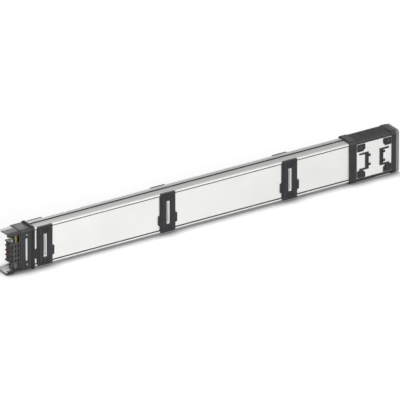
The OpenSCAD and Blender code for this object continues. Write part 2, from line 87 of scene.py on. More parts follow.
towards_camera = Vector((math.sin(VIEW_AZIMUTH) * math.cos(VIEW_ELEVATION),
                         -math.cos(VIEW_AZIMUTH) * math.cos(VIEW_ELEVATION),
                         math.sin(VIEW_ELEVATION)))
distance = PICTURE_WIDTH * LENS_MM / SENSOR_MM
camera = bpy.data.objects.new("camera", bpy.data.cameras.new("camera"))
camera.data.lens = LENS_MM
camera.data.sensor_width = SENSOR_MM
camera.data.clip_start = 1.0
camera.data.clip_end = 3 * distance
camera.location = AIM + towards_camera * distance
camera.rotation_euler = towards_camera.to_track_quat("Z", "Y").to_euler()
bpy.context.scene.collection.objects.link(camera)
bpy.context.scene.camera = camera
print(f"camera {distance:.1f} m away, picture {PICTURE_WIDTH:.3f} m wide")

# %% [markdown]
# ## Surfaces from arrays
#
# A small turned part, such as a screw head, is a surface with two parameters: one runs along
# its profile, the other round its axis. numpy works out the whole grid of points at once, and
# the faces are the little four-sided cells between neighbouring points. The same idea makes a
# row of rivets: one rivet's points are added to a whole list of places.

# %% Helpers that turn grids of points into pieces


def cells(rows, cols):
    """Corner numbers of the cells of a grid whose last column joins its first one."""
    i, j = np.meshgrid(np.arange(rows - 1), np.arange(cols), indexing="ij")
    k = (j + 1) % cols
    return np.stack([i * cols + j, i * cols + k, (i + 1) * cols + k, (i + 1) * cols + j],
                    axis=-1).reshape(-1, 4)


def stamp(grid, places, turn):
    """One grid of points (rows, cols, 3), turned by a 3 x 3 matrix, put at every place (n, 3)."""
    rows, cols = grid.shape[:2]
    shape = grid.reshape(-1, 3) @ np.asarray(turn, float).T
    points = (np.asarray(places, float)[:, None, :] + shape[None]).reshape(-1, 3)
    steps = np.arange(len(places))[:, None, None] * len(shape)
    return points, (cells(rows, cols)[None] + steps).reshape(-1, 4)


own_pieces = []
SAME_POINT = 1e-6
EMPTY_EDGE = 1e-7


def make_piece(name, parts, slot, replaced=(), sharp=35.0):
    """Joins (points, faces) parts into one object that rides on the part. Points that fall
    together at a pole are merged, and all faces are turned outwards. own_pieces lists the
    object with its slot, for the finish that it gets later."""
    points, faces, count = [], [], 0
    for part_points, part_faces in parts:
        points.append(part_points)
        faces.append(part_faces + count)
        count += len(part_points)
    mesh = bpy.data.meshes.new(name)
    mesh.from_pydata(np.concatenate(points).tolist(), [], np.concatenate(faces).tolist())
    shape = bmesh.new()
    shape.from_mesh(mesh)
    bmesh.ops.remove_doubles(shape, verts=shape.verts, dist=SAME_POINT)
    bmesh.ops.dissolve_degenerate(shape, edges=shape.edges, dist=EMPTY_EDGE)
    bmesh.ops.recalc_face_normals(shape, faces=shape.faces)
    shape.to_mesh(mesh)
    shape.free()
    mesh.shade_smooth()
    mesh.set_sharp_from_angle(angle=math.radians(sharp))
    obj = bpy.data.objects.new(name, mesh)
    bpy.context.scene.collection.objects.link(obj)
    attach(obj, "root")
    if replaced:
        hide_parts(*replaced)
    own_pieces.append((obj, slot))
    print(f"{name}: {len(mesh.polygons)} faces")


# Turns that carry a shape whose axis is +Z onto another axis
TO_UP = np.eye(3)
TO_DOWN = np.diag([1.0, -1.0, -1.0])
TO_FRONT = np.array([[1.0, 0, 0], [0, 0, -1.0], [0, 1.0, 0]])
TO_REAR = np.array([[-1.0, 0, 0], [0, 0, 1.0], [0, 1.0, 0]])
SIDES = (("front", TO_FRONT, -1), ("rear", TO_REAR, 1))
print("a grid of 3 rows and 4 columns has", len(cells(3, 4)), "cells round its axis")


# %% [markdown]
# ## Fasteners
#
# A fastener is turned, but not quite round everywhere: a driving recess has six lobes and a
# nut has six flats. So each ring of the profile has its own outline, a mix between a circle
# and that outline. The weights along the profile say where it is round and where it isn't.

# %% Round and six-sided outlines
RING = 48
angle = np.linspace(0, 2 * np.pi, RING, endpoint=False)
LOBES = 1 + 0.17 * np.cos(6 * angle)
FLATS = 1 / np.cos((angle + np.pi / 6) % (np.pi / 3) - np.pi / 6)


def turned(profile, outline):
    """A turned shape about +Z. profile rows are (radius, height, weight). Each ring's radius
    is its own radius times 1 + weight x (outline - 1)."""
    radius, height, weight = np.asarray(profile, float).T[:, :, None]
    ring = radius * (1 + weight * (outline[None] - 1))
    return np.stack([ring * np.cos(angle), ring * np.sin(angle),
                     np.broadcast_to(height, ring.shape)], axis=-1)


def chamfered(grid, row, flat_radius, slope):
    """Lowers one ring of a six-sided head where its corners pass the flats, as the cone of
    a lathe tool does: the drop is the way past the flats times the slope."""
    grid = grid.copy()
    reach = np.hypot(grid[row, :, 0], grid[row, :, 1])
    grid[row, :, 2] -= (reach - flat_radius) * slope
    return grid


def arc(radius, low_angle, high_angle, steps, centre=(0.0, 0.0)):
    """Points (radius, height) along an arc of a profile, angles in degrees."""
    t = np.radians(np.linspace(low_angle, high_angle, steps))
    return np.stack([centre[0] + radius * np.cos(t), centre[1] + radius * np.sin(t)], axis=-1)


def with_weight(points, weight):
    """Adds the outline's weight to (radius, height) points."""
    points = np.asarray(points, float)
    return np.column_stack([points, np.full(len(points), weight)])


print(f"lobes reach {LOBES.min():.2f} to {LOBES.max():.2f} of the radius, "
      f"flats {FLATS.min():.2f} to {FLATS.max():.2f}")

# %% [markdown]
# ### A screw with a pan head
#
# All small screws of this part are alike but for their size, so one function makes them. The
# profile starts in the middle of the recess, climbs its wall, goes over the dome and ends in
# the middle of the underside, so that the head is closed.

# %% Pan head
RECESS_SHARE = 0.42
DEPTH_SHARE = 0.75
LIP_SHARE = 1.1
RECESS_RINGS = np.array([(0, 1), (0.96, 1), (1, 0.85), (1, 0.15)])
DOME_RINGS = np.array([(0.70, 0.985), (0.86, 0.90), (0.95, 0.72)])


def lobed_screw(radius, top, rim):
    """A pan head with a six-lobed recess: up the recess (shares of its radius and of its depth),
    over the dome (shares of the head's radius and height) and down the rim."""
    recess, depth = RECESS_SHARE * radius, DEPTH_SHARE * top
    return np.concatenate([
        with_weight(RECESS_RINGS * [recess, -depth] + [0, top], 1),
        with_weight([(LIP_SHARE * recess, top)], 0.5),
        with_weight(DOME_RINGS * [radius, top], 0),
        with_weight([(radius, rim), (radius, 0), (0, 0)], 0),
    ])


print("a pan head has", len(lobed_screw(1.0, 1.0, 0.5)), "rings of", RING, "points")

# %% [markdown]
# ### Corner screws of the joint sleeve
#
# Each side plate is held by four clamps with a screw through each. The CAD model has the
# screws as plain discs with shanks. Here a screw with a washer and a six-lobed recess stands
# for each of them, at the same place.

# %% Corner screws
WASHER_RADIUS = 7.0 * MM
WASHER_T = 0.8 * MM
HEAD_RADIUS = 5.8 * MM
HEAD_HEIGHT = 1.2 * MM
HEAD_RIM = 0.6 * MM
SHANK_RADIUS = 2.5 * MM
SHANK_TAPER = 0.2 * MM
SHANK_POINT = 0.4 * MM
SUNK = 0.1 * MM
BROKEN_EDGE = 0.2 * MM


def washer(inner, outer, thickness):
    """A flat ring with broken edges: out along its underside, up its rim, back along its top
    and down the wall of its hole."""
    edge = BROKEN_EDGE
    return with_weight([(inner, 0), (outer - edge, 0), (outer, edge), (outer, thickness - edge),
                        (outer - edge, thickness), (inner + edge, thickness),
                        (inner, thickness - edge), (inner, 0)], 0)


for side, turn, sign in SIDES:
    low, high = corners(f"screws_{side}")
    clamp_low, clamp_high = corners(f"clamps_{side}")
    outer, tip = (clamp_low[1], high[1]) if side == "front" else (clamp_high[1], low[1])
    places = np.array([[x, outer, z] for x in (low[0] + WASHER_RADIUS, high[0] - WASHER_RADIUS)
                       for z in (low[2] + WASHER_RADIUS, high[2] - WASHER_RADIUS)])
    length = abs(tip - outer)
    shank = with_weight([(0, -length), (SHANK_RADIUS - SHANK_TAPER, -length),
                         (SHANK_RADIUS, SHANK_POINT - length), (SHANK_RADIUS, SUNK), (0, SUNK)], 0)
    make_piece(f"corner_screws_{side}", [
        stamp(turned(washer(SHANK_RADIUS, WASHER_RADIUS, WASHER_T), LOBES), places, turn),
        stamp(turned(lobed_screw(HEAD_RADIUS, HEAD_HEIGHT, HEAD_RIM), LOBES),
              places + np.array([0, sign * WASHER_T, 0]), turn),
        stamp(turned(shank, LOBES), places, turn),
    ], "dark_steel", [f"screws_{side}"])

# %% [markdown]
# ### Fixing screws of the outlet frames
#
# A moulded frame is held to the casing by one screw above its slot and one below it, down in
# the ribbed pockets. They are smaller, black and sunk, so they only show as a glint.

# %% Frame screws
SMALL_HEAD = 3.2 * MM
SMALL_RIM = 0.7 * MM
FRAME_SCREW_HEIGHT = 1.8 * MM
POCKET_DEPTH = 2.0 * MM
SCREW_OFFSET = 5.0 * MM
OUTLETS = (1, 2, 3)
frame_screw = turned(lobed_screw(SMALL_HEAD, FRAME_SCREW_HEIGHT, SMALL_RIM), LOBES)
for side, turn, sign in SIDES:
    places = []
    for number in OUTLETS:
        low, high = corners(f"outlet_{side}_{number}")
        slot_low, slot_high = corners(f"insert_{side}_{number}")
        x = (low[0] + high[0]) / 2
        pocket = (low[1] if side == "front" else high[1]) - sign * POCKET_DEPTH
        places += [[x + SCREW_OFFSET, pocket, (slot_high[2] + high[2]) / 2],
                   [x - SCREW_OFFSET, pocket, (slot_low[2] + low[2]) / 2]]
    make_piece(f"frame_screws_{side}", [stamp(frame_screw, places, turn)], "dark_steel")

# %% [markdown]
# ### Screws of the end collar
#
# The collar is moulded in one piece and pushed over the casing. One screw above its window
# and one below it, on both sides, keep it from sliding off when two lengths are pulled apart.

# %% Collar screws
COLLAR_SCREW_HEIGHT = 1.6 * MM
LAND_RISE = 3.0 * MM
WINDOW_MIDDLE = 26.0 * MM
WINDOW_TO_SCREW = 55.0 * MM
shell_low, shell_high = corners("front_shell")
collar_low, collar_high = corners("end_collar")
casing_half_depth = -shell_low[1]
casing_middle_z = (shell_low[2] + shell_high[2]) / 2
window_x = collar_low[0] + WINDOW_MIDDLE
collar_screw = turned(lobed_screw(SMALL_HEAD, COLLAR_SCREW_HEIGHT, SMALL_RIM), LOBES)
for side, turn, sign in SIDES:
    land_y = sign * (casing_half_depth + LAND_RISE)
    places = [[window_x, land_y, casing_middle_z + step]
              for step in (-WINDOW_TO_SCREW, WINDOW_TO_SCREW)]
    make_piece(f"collar_screws_{side}", [stamp(collar_screw, places, turn)], "plated_steel")

# %% [markdown]
# ### The collar's rubber seal
#
# A rubber ring lies round the collar's land, just before its stop flange, and closes the joint
# against dust and water. Its section is a low bump, carried round a rectangle with rounded
# corners: every point of the section has its own rectangle, grown by the point's height.

# %% Seal ring
CORNER_POINTS = 12


def rounded_loop(half_y, half_z, radius):
    """Points (y, z) on a rectangle with round corners: each corner's centre plus a quarter
    circle of the given radius. The straight sides lie between the quarter circles."""
    quarter = np.linspace(0, np.pi / 2, CORNER_POINTS)
    turns = np.arange(4)[:, None] * np.pi / 2 + quarter[None]
    signs = np.array([[1, 1], [-1, 1], [-1, -1], [1, -1]])
    centres = signs * [half_y - radius, half_z - radius]
    circle = np.stack([np.cos(turns), np.sin(turns)], axis=-1)
    return (centres[:, None] + radius * circle).reshape(-1, 2)


def ring_round_casing(section, half_y, half_z, radius, middle_z):
    """A closed section of (x, rise) points carried round the casing: at every point the loop
    is grown by the rise, so its corners keep their centres."""
    loops = [rounded_loop(half_y + rise, half_z + rise, radius + rise) for x, rise in section]
    grid = np.empty((len(section), 4 * CORNER_POINTS, 3))
    grid[..., 0] = np.asarray(section)[:, :1]
    grid[..., 1:] = np.stack(loops)
    grid[..., 2] += middle_z
    return grid.reshape(-1, 3), cells(*grid.shape[:2])


SEAL_WIDTH = 4.0 * MM
SEAL_HEIGHT = 1.4 * MM
SEAL_FOOT = 0.5 * MM
SEAL_FROM_END = 11.5 * MM
CASING_RADIUS = 4.0 * MM
seal_x = collar_high[0] - SEAL_FROM_END
bump = np.linspace(0, np.pi, 13)
section = [(seal_x - SEAL_WIDTH / 2 * math.cos(t), LAND_RISE + SEAL_HEIGHT * math.sin(t))
           for t in bump]
section += [(seal_x + SEAL_WIDTH / 2, LAND_RISE - SEAL_FOOT),
            (seal_x - SEAL_WIDTH / 2, LAND_RISE - SEAL_FOOT), section[0]]
casing_half_height = (shell_high[2] - shell_low[2]) / 2
make_piece("collar_seal", [
    ring_round_casing(section, casing_half_depth, casing_half_height, CASING_RADIUS,
                      casing_middle_z),
], "seal_rubber")

# %% [markdown]
# ### Seals along the seams
#
# Each seam of the casing is closed by an extruded rubber seal. Its stem fills the gap between
# the two shells and its wide, thin head lies over both edges, with two lips along the crown.
# An extrusion is the simplest surface of all: one section, carried straight along the casing.

# %% Seam seals
SEAL_SECTION_MM = [(-4.2, 0), (-4.2, 0.5), (-3.2, 1.05), (-1.6, 1.35), (-1.0, 2.0), (-0.35, 1.6),
                   (0.35, 1.6), (1.0, 2.0), (1.6, 1.35), (3.2, 1.05), (4.2, 0.5), (4.2, 0),
                   (2, 0), (2, -1.2), (-2, -1.2), (-2, 0)]


def straight_run(section, low_x, high_x):
    """A closed section of (y, z) points carried straight along X. Its middle point closes
    each end with a fan of faces."""
    section = np.asarray(section, float)
    middle = np.broadcast_to(section.mean(axis=0), section.shape)
    rings = np.stack([middle, section, section, middle])
    x = np.array([low_x, low_x, high_x, high_x])[:, None, None]
    grid = np.concatenate([np.broadcast_to(x, (4, len(section), 1)), rings], axis=-1)
    return grid.reshape(-1, 3), cells(*grid.shape[:2])


for name, edge_z, up in (("top", shell_high[2], 1), ("bottom", shell_low[2], -1)):
    seal_low, seal_high = corners(f"{name}_seal")
    seam_middle = (seal_low[1] + seal_high[1]) / 2
    section = np.array(SEAL_SECTION_MM) * MM * [1, up] + [seam_middle, edge_z]
    make_piece(f"{name}_seam_seal", [straight_run(section, seal_low[0], seal_high[0])],
               "seal_rubber", [f"{name}_seal"])

# %% [markdown]
# ### Black beads that paint the panels' shadow lines
#
# The side panels lie a little behind the rails above and below them. A thin black bead fills the
# step between them and stands in for the shade along the step: a painted shadow line, made as a
# piece of black rubber. It stops at every outlet frame, so each of its four lines is a row of
# four short runs with a quarter-round section.

# %% Panel beads, painted shadow lines
RAIL_HEIGHT = 7.0 * MM
PANEL_INSET = 1.8 * MM
BEAD_HEIGHT = 4.0 * MM
BEAD_DEPTH = 0.9 * PANEL_INSET
FRAME_HALF_WIDTH = 30.0 * MM
seat_low = corners("seat_ring")[0]
quarter = np.linspace(0, np.pi / 2, 7)
bead = np.concatenate([[(0, 0)], np.stack([BEAD_DEPTH * np.cos(quarter),
                                           BEAD_HEIGHT * np.sin(quarter)], axis=-1)])
frame_middles = [np.mean([c[0] for c in corners(f"outlet_front_{n}")]) for n in OUTLETS]
run_starts = [collar_high[0]] + [x + FRAME_HALF_WIDTH for x in frame_middles]
run_ends = [x - FRAME_HALF_WIDTH for x in frame_middles] + [seat_low[0]]
shadow_bead_runs = []
for side in (-1, 1):
    panel_y = side * (casing_half_depth - PANEL_INSET)
    for step_z, into_panel in ((shell_high[2] - RAIL_HEIGHT, -1), (shell_low[2] + RAIL_HEIGHT, 1)):
        section = bead * [side, into_panel] + [panel_y, step_z]
        shadow_bead_runs += [straight_run(section, a, b) for a, b in zip(run_starts, run_ends)]
make_piece("panel_shadow_beads", shadow_bead_runs, "seal_rubber")

# %% [markdown]
# ### Gaskets of the outlet frames
#
# Each outlet frame is pressed on a flat gasket, and a little of it stays in sight along both
# sides, above and below the ears. The strips run upright, so the same extrusion is made along
# X and its columns are then rolled round: the run becomes Z, and the section lies in X and Y.

# %% Frame gaskets
GASKET_SHOWS = 1.6 * MM
GASKET_RISE = 1.0 * MM
GASKET_TUCK = 0.4 * MM
GASKET_EDGE = 0.4 * MM
EAR_MIDDLE = 47.0 * MM
EAR_HALF_HEIGHT = 17.5 * MM
strip_section = np.array([(-GASKET_TUCK, -GASKET_TUCK), (GASKET_SHOWS, -GASKET_TUCK),
                          (GASKET_SHOWS, GASKET_RISE - GASKET_EDGE),
                          (GASKET_SHOWS - GASKET_EDGE, GASKET_RISE), (-GASKET_TUCK, GASKET_RISE)])
ear_middle_z = shell_low[2] + EAR_MIDDLE
strip_ends = [(shell_low[2] + RAIL_HEIGHT, ear_middle_z - EAR_HALF_HEIGHT),
              (ear_middle_z + EAR_HALF_HEIGHT, shell_high[2] - RAIL_HEIGHT)]
gasket_strips = []
for side in (-1, 1):
    for middle in frame_middles:
        for edge in (-1, 1):
            corner = [middle + edge * FRAME_HALF_WIDTH, side * (casing_half_depth - PANEL_INSET)]
            for low_z, high_z in strip_ends:
                points, faces = straight_run(strip_section * [edge, side] + corner, low_z, high_z)
                gasket_strips.append((np.roll(points, -1, axis=1), faces))
make_piece("frame_gaskets", gasket_strips, "seal_rubber")

# %% [markdown]
# ### Rivets along the seams
#
# The two shells lap under each other along the seams, and blind rivets hold the lap. A blind
# rivet has a low dome with a small hole where its mandrel broke off.

# %% Rivets
RIVET_RADIUS = 3.4 * MM
RIVET_HOLE = 1.1 * MM
RIVET_HOLE_FLOOR = (0.9 * MM, 0.5 * MM)
RIVET_HOLE_RIM = 1.15 * MM
DOME_SHARE = 0.5
RIVET_SPACING = 98 * MM
FIRST_RIVET = 35 * MM
SEAL_TO_RIVET = 6 * MM
rivet = np.concatenate([
    with_weight([(0, RIVET_HOLE_FLOOR[1]), RIVET_HOLE_FLOOR, (RIVET_HOLE, RIVET_HOLE_RIM)], 0),
    with_weight(arc(RIVET_RADIUS - RIVET_HOLE, 90, 0, 6, (RIVET_HOLE, 0)) * [1, DOME_SHARE], 0),
    with_weight([(0, 0)], 0),
])
first, last = collar_high[0] + FIRST_RIVET, seat_low[0] - FIRST_RIVET
count = int((last - first) / RIVET_SPACING) + 1
rivet_x = np.linspace(first, last, count)
rivet_rows = []
for name, seam_z, turn in (("top", shell_high[2], TO_UP), ("bottom", shell_low[2], TO_DOWN)):
    lap_y = corners(f"{name}_seal")[0][1] - SEAL_TO_RIVET
    places = np.column_stack([rivet_x, np.full(count, lap_y), np.full(count, seam_z)])
    rivet_rows.append(stamp(turned(rivet, LOBES), places, turn))
make_piece("seam_rivets", rivet_rows, "casing_paint")

# %% [markdown]
# ### The joint bolt's thread
#
# One captive bolt clamps the whole joint. Its thread is a surface too: the radius goes down
# and up once for each pitch, and the whole pattern is turned a little further at each angle,
# which is what makes it a helix.

# %% Thread
BOLT_RADIUS = 5.0 * MM
THREAD_PITCH = 1.5 * MM
THREAD_DEPTH = 0.8 * MM
ROWS_PER_PITCH = 8
PLAIN_END_SHARE = 0.9


def thread(low_z, high_z):
    """A threaded rod: each radius is the rod's less the depth x a rounded wave of the height
    minus the turned angle. At both ends the wave fades to a plain, thinner rod."""
    rows = int((high_z - low_z) / THREAD_PITCH * ROWS_PER_PITCH)
    z = np.linspace(low_z, high_z, rows)[:, None]
    wave = 0.5 - 0.5 * np.cos(2 * np.pi * (z / THREAD_PITCH - angle[None] / (2 * np.pi)))
    fade = np.clip((high_z - z) / THREAD_PITCH, 0, 1) * np.clip((z - low_z) / THREAD_PITCH, 0, 1)
    ring = BOLT_RADIUS - THREAD_DEPTH * (wave * fade + (1 - fade) * PLAIN_END_SHARE)
    grid = np.stack([ring * np.cos(angle), ring * np.sin(angle),
                     np.broadcast_to(z, ring.shape)], axis=-1)
    cap_low = np.broadcast_to([0, 0, low_z], (1, RING, 3))
    cap_high = np.broadcast_to([0, 0, high_z], (1, RING, 3))
    return np.concatenate([cap_low, grid, cap_high])


print(f"thread of {THREAD_PITCH / MM:.1f} mm pitch on a rod {2 * BOLT_RADIUS / MM:.0f} mm thick")

# %% [markdown]
# ### Hexagons of the bolt and the nut
#
# A bolt's head is chamfered on its outer end and a nut on both ends. The chamfer is turned, so
# it only takes the corners off, and leaves the curved line that every real hexagon has.

# %% Hexagon
CHAMFER_SLOPE = 0.5


def hexagon(flat_radius, height, both_ends):
    """A six-sided head along (radius, height, weight) rings: the weight goes from round (0) to
    six-sided (1) and back. The outer ring of flats, or both, is lowered by the chamfer."""
    first = [(0, 0, 0), (flat_radius, 0, 0)] if both_ends else [(0, 0, 0)]
    profile = first + [(flat_radius, 0, 1), (flat_radius, height, 1), (flat_radius, height, 0),
                       (0, height, 0)]
    grid = chamfered(turned(profile, FLATS), len(profile) - 3, flat_radius, CHAMFER_SLOPE)
    if both_ends:
        grid = chamfered(grid, len(first), flat_radius, -CHAMFER_SLOPE)
    return grid


print("a nut has", len(hexagon(1.0, 1.0, True)), "rings and a bolt's head",
      len(hexagon(1.0, 1.0, False)))

# %% [markdown]
# ### The bolt and its nut
#
# The bolt's head is at the very bottom, under a square plate. The nut clamps the block from
# above, on a washer that spreads its load. Both stand for plain cylinders of the CAD model.

# %% Joint bolt and nut
HEAD_SHARE = 1.96  # corner radius of the head and the nut, as a share of the rod's radius
HIDDEN_IN_HEAD = 0.5 * MM
NUT_WASHER_RADIUS = 10.5 * MM
NUT_WASHER_T = 1.5 * MM
bolt_high = corners("joint_bolt")[1]
nut_low, nut_high = corners("joint_nut")
plate_low, plate_high = corners("bolt_plate")
bolt_x = (plate_low[0] + plate_high[0]) / 2
flat_radius = HEAD_SHARE * BOLT_RADIUS * math.cos(math.pi / 6)
make_piece("joint_bolt_threaded", [
    stamp(hexagon(flat_radius, plate_low[2], False), [[bolt_x, 0, plate_low[2]]], TO_DOWN),
    stamp(thread(plate_low[2] - HIDDEN_IN_HEAD, bolt_high[2]), [[bolt_x, 0, 0]], TO_UP),
], "plated_steel", ["joint_bolt"], sharp=50)

nut_height = nut_high[2] - nut_low[2] - NUT_WASHER_T
make_piece("joint_nut_and_washer", [
    stamp(turned(washer(BOLT_RADIUS, NUT_WASHER_RADIUS, NUT_WASHER_T), LOBES),
          [[bolt_x, 0, nut_low[2]]], TO_UP),
    stamp(hexagon(flat_radius, nut_height, True), [[bolt_x, 0, nut_low[2] + NUT_WASHER_T]], TO_UP),
], "plated_steel", ["joint_nut"], sharp=40)

# %% [markdown]
# ## Finishes
#
# A real surface is never one flat colour. Each material below starts from the plain finish
# and adds what the real one shows at its own scale: orange peel in paint, a fine spark texture
# in mouldings, drawing lines on bars, and darker corners, which are painted shade with a little
# dirt. Pale edges on the dark mouldings are a painted sheen. Effects that several finishes share
# are node groups with named inputs.

# %% Node helpers


def new_group(name, inputs, outputs):
    """A shader node group with named sockets: inputs are (name, kind, default)."""
    group = bpy.data.node_groups.new(name, "ShaderNodeTree")
    for socket, kind, default in inputs:
        item = group.interface.new_socket(socket, in_out="INPUT", socket_type=f"NodeSocket{kind}")
        item.default_value = default
    for socket, kind in outputs:
        group.interface.new_socket(socket, in_out="OUTPUT", socket_type=f"NodeSocket{kind}")
    group_in, group_out = group.nodes.new("NodeGroupInput"), group.nodes.new("NodeGroupOutput")
    return group, group_in.outputs, group_out.inputs


def add(tree, kind, links=None, **settings):
    """A node with its settings, and with links that are sockets or plain values."""
    node = tree.nodes.new(f"ShaderNode{kind}")
    for key, value in settings.items():
        setattr(node, key, value)
    for socket, source in (links or {}).items():
        if isinstance(source, bpy.types.NodeSocket):
            tree.links.new(source, node.inputs[socket])
        else:
            node.inputs[socket].default_value = source
    return node


def maths(tree, operation, a, b=0.0, clamp=False):
    """One arithmetic step on two sockets or numbers."""
    return add(tree, "Math", {0: a, 1: b}, operation=operation, use_clamp=clamp).outputs[0]


def ramp(tree, value, low, high, out_low=0.0, out_high=1.0):
    """Carries a value from one range to another, held at both ends."""
    return add(tree, "MapRange", {0: value, 1: low, 2: high, 3: out_low, 4: out_high}).outputs[0]


def blend_colour(tree, factor, a, b):
    """Mixes two colours, sockets or (r, g, b, 1), by a factor."""
    node = add(tree, "Mix", data_type="RGBA")
    for socket, source in ((node.inputs[0], factor), (node.inputs[6], a), (node.inputs[7], b)):
        if isinstance(source, bpy.types.NodeSocket):
            tree.links.new(source, socket)
        else:
            socket.default_value = source
    return node.outputs[2]


def object_noise(tree, scale, detail, stretch=(1.0, 1.0, 1.0)):
    """Noise on Object coordinates, drawn out along an axis by a small stretch value."""
    place = add(tree, "TexCoord").outputs["Object"]
    spread = add(tree, "Mapping", {"Vector": place, "Scale": stretch}).outputs[0]
    return add(tree, "TexNoise", {"Vector": spread, "Scale": scale, "Detail": detail}).outputs[0]


print("node helpers: add, maths, ramp, blend_colour and object_noise")

# %% [markdown]
# ### Worn edges and painted sheen
#
# Paint and plastic wear where a hand or a crate rubs: on the outer edges. On the dark mouldings
# the same mask paints a paler sheen along the edges instead, a painted highlight. The Bevel node
# gives the normal that a rounded edge would have, and where it differs from the true one there is
# an edge. Noise breaks the line into patches. A span gives the two values of a mask's source that
# become 0 and 1.

# %% Edge wear and painted sheen
EDGE_SPAN = (0.995, 0.90)
PATCH_SPAN = (0.45, 0.62)
wear_and_sheen_group, wear_and_sheen_in, wear_and_sheen_out = new_group(
    "edge wear and sheen", [("Radius", "Float", 0.001), ("Amount", "Float", 0.5)], [("Mask", "Float")])
soft_normal = add(wear_and_sheen_group, "Bevel", {"Radius": wear_and_sheen_in["Radius"]}, samples=4).outputs[0]
true_normal = add(wear_and_sheen_group, "NewGeometry").outputs["Normal"]
same = add(wear_and_sheen_group, "VectorMath", {0: soft_normal, 1: true_normal}, operation="DOT_PRODUCT")
edge = ramp(wear_and_sheen_group, same.outputs["Value"], *EDGE_SPAN)
patches = ramp(wear_and_sheen_group, object_noise(wear_and_sheen_group, 90.0, 4.0), *PATCH_SPAN)
rubbed = maths(wear_and_sheen_group, "MULTIPLY", edge, patches)
rubbed = maths(wear_and_sheen_group, "MULTIPLY", rubbed, wear_and_sheen_in["Amount"], clamp=True)
wear_and_sheen_group.links.new(rubbed, wear_and_sheen_out["Mask"])
print("edge wear and sheen:", len(wear_and_sheen_group.nodes), "nodes")

# %% [markdown]
# ### Dusty corners, with painted shade
#
# Dust gathers where no cloth reaches, and the same mask paints the shade that falls in closed-in
# corners and steps. Ambient Occlusion tells how much open space a point sees, and where it is
# little, the mask is strong. A slow noise makes the darkening uneven.

# %% Corner dust and painted shade
CORNER_SPAN = (0.92, 0.45)
DRIFT_SPAN = (0.2, 0.7)
shade_and_dust_group, shade_and_dust_in, shade_and_dust_out = new_group(
    "corner shade and dust", [("Reach", "Float", 0.006), ("Amount", "Float", 0.5)], [("Mask", "Float")])
# The mask darkens closed-in corners: painted shade as well as dust.
open_space = add(shade_and_dust_group, "AmbientOcclusion", {"Distance": shade_and_dust_in["Reach"]}, samples=8)
closed = ramp(shade_and_dust_group, open_space.outputs["AO"], *CORNER_SPAN)
drift = ramp(shade_and_dust_group, object_noise(shade_and_dust_group, 60.0, 3.0), *DRIFT_SPAN, 0.5, 1.0)
corner_darkening = maths(shade_and_dust_group, "MULTIPLY", closed, drift)
corner_darkening = maths(shade_and_dust_group, "MULTIPLY", corner_darkening, shade_and_dust_in["Amount"], clamp=True)
shade_and_dust_group.links.new(corner_darkening, shade_and_dust_out["Mask"])
print("corner shade and dust:", len(shade_and_dust_group.nodes), "nodes")

# %% [markdown]
# ### Fine grain
#
# Orange peel, a spark-eroded mould and a cast skin are all a fine noise in the height of the
# surface. It is far too small for geometry, so a Bump node tilts the normals instead.

# %% Fine grain
grain_group, grain_in, grain_out = new_group(
    "fine grain",
    [("Scale", "Float", 900.0), ("Strength", "Float", 0.2), ("Depth", "Float", 0.0001)],
    [("Normal", "Vector")])
grain_place = add(grain_group, "TexCoord").outputs["Object"]
grain_height = add(grain_group, "TexNoise", {"Vector": grain_place, "Scale": grain_in["Scale"],
                                             "Detail": 2.0}).outputs[0]
grain_bump = add(grain_group, "Bump", {"Height": grain_height, "Strength": grain_in["Strength"],
                                       "Distance": grain_in["Depth"]})
grain_group.links.new(grain_bump.outputs[0], grain_out["Normal"])
print("fine grain:", len(grain_group.nodes), "nodes")

# %% [markdown]
# ### Making a material
#
# Every material is kept in a list by its name, because the CAD record calls finishes by name.
# Each one places the shared effects with its own values, and links what varies over the
# surface to the shader.

# %% Helpers for materials
finishes = {}


def use(tree, group, **values):
    """Places a shared effect in a material, with its own values."""
    node = tree.nodes.new("ShaderNodeGroup")
    node.node_tree = group
    for socket, value in values.items():
        node.inputs[socket].default_value = value
    return node.outputs[0]


def finish(name, metallic=0.0):
    """A new material with its Principled BSDF, ready for links. It is listed by its name."""
    material = bpy.data.materials.new(name)
    material.use_nodes = True
    tree = material.node_tree
    shader = tree.nodes["Principled BSDF"]
    shader.inputs["Metallic"].default_value = metallic
    finishes[name] = material
    return tree, shader


def connect(tree, shader, **sockets):
    """Links results to the shader by socket name, with _ for a space."""
    for name, source in sockets.items():
        tree.links.new(source, shader.inputs[name.replace("_", " ")])


print("material helpers: use, finish and connect")

# %% [markdown]
# ### One recipe for paint, mouldings, black steel and rubber
#
# These finishes differ in their values, not in their make-up. A slow noise blends two near
# tints, so that no face is one flat colour, and the same or another noise moves the gloss.
# Masks lay a second colour over that: dust with painted shade in the corners, and wear with a
# painted sheen on the edges. A fine grain roughens the surface.

# %% Recipe
GRAIN_DEPTH = 0.0002


def tinted_finish(name, pattern, tints, rough, grain, marks=(), gloss_pattern=None):
    """A non-metal. A pattern is (scale, detail, low, high, stretch): Object noise, with low to
    high carried to 0 to 1. It blends the two tints and the two roughness values, unless the
    gloss has its own. grain is (Scale, Strength), a mark is (group, its values, colour)."""
    tree, shader = finish(name)

    def spread(scale, detail, low, high, stretch=(1.0, 1.0, 1.0)):
        return ramp(tree, object_noise(tree, scale, detail, stretch), low, high)

    tone = spread(*pattern)
    body = blend_colour(tree, tone, *tints)
    for group, values, colour in marks:
        body = blend_colour(tree, use(tree, group, **values), body, colour)
    gloss = spread(*gloss_pattern) if gloss_pattern else tone
    scale, strength = grain
    connect(tree, shader, Base_Color=body, Roughness=ramp(tree, gloss, 0.0, 1.0, *rough),
            Normal=use(tree, grain_group, Scale=scale, Strength=strength, Depth=GRAIN_DEPTH))
    print(f"{name}: {len(tree.nodes)} nodes")


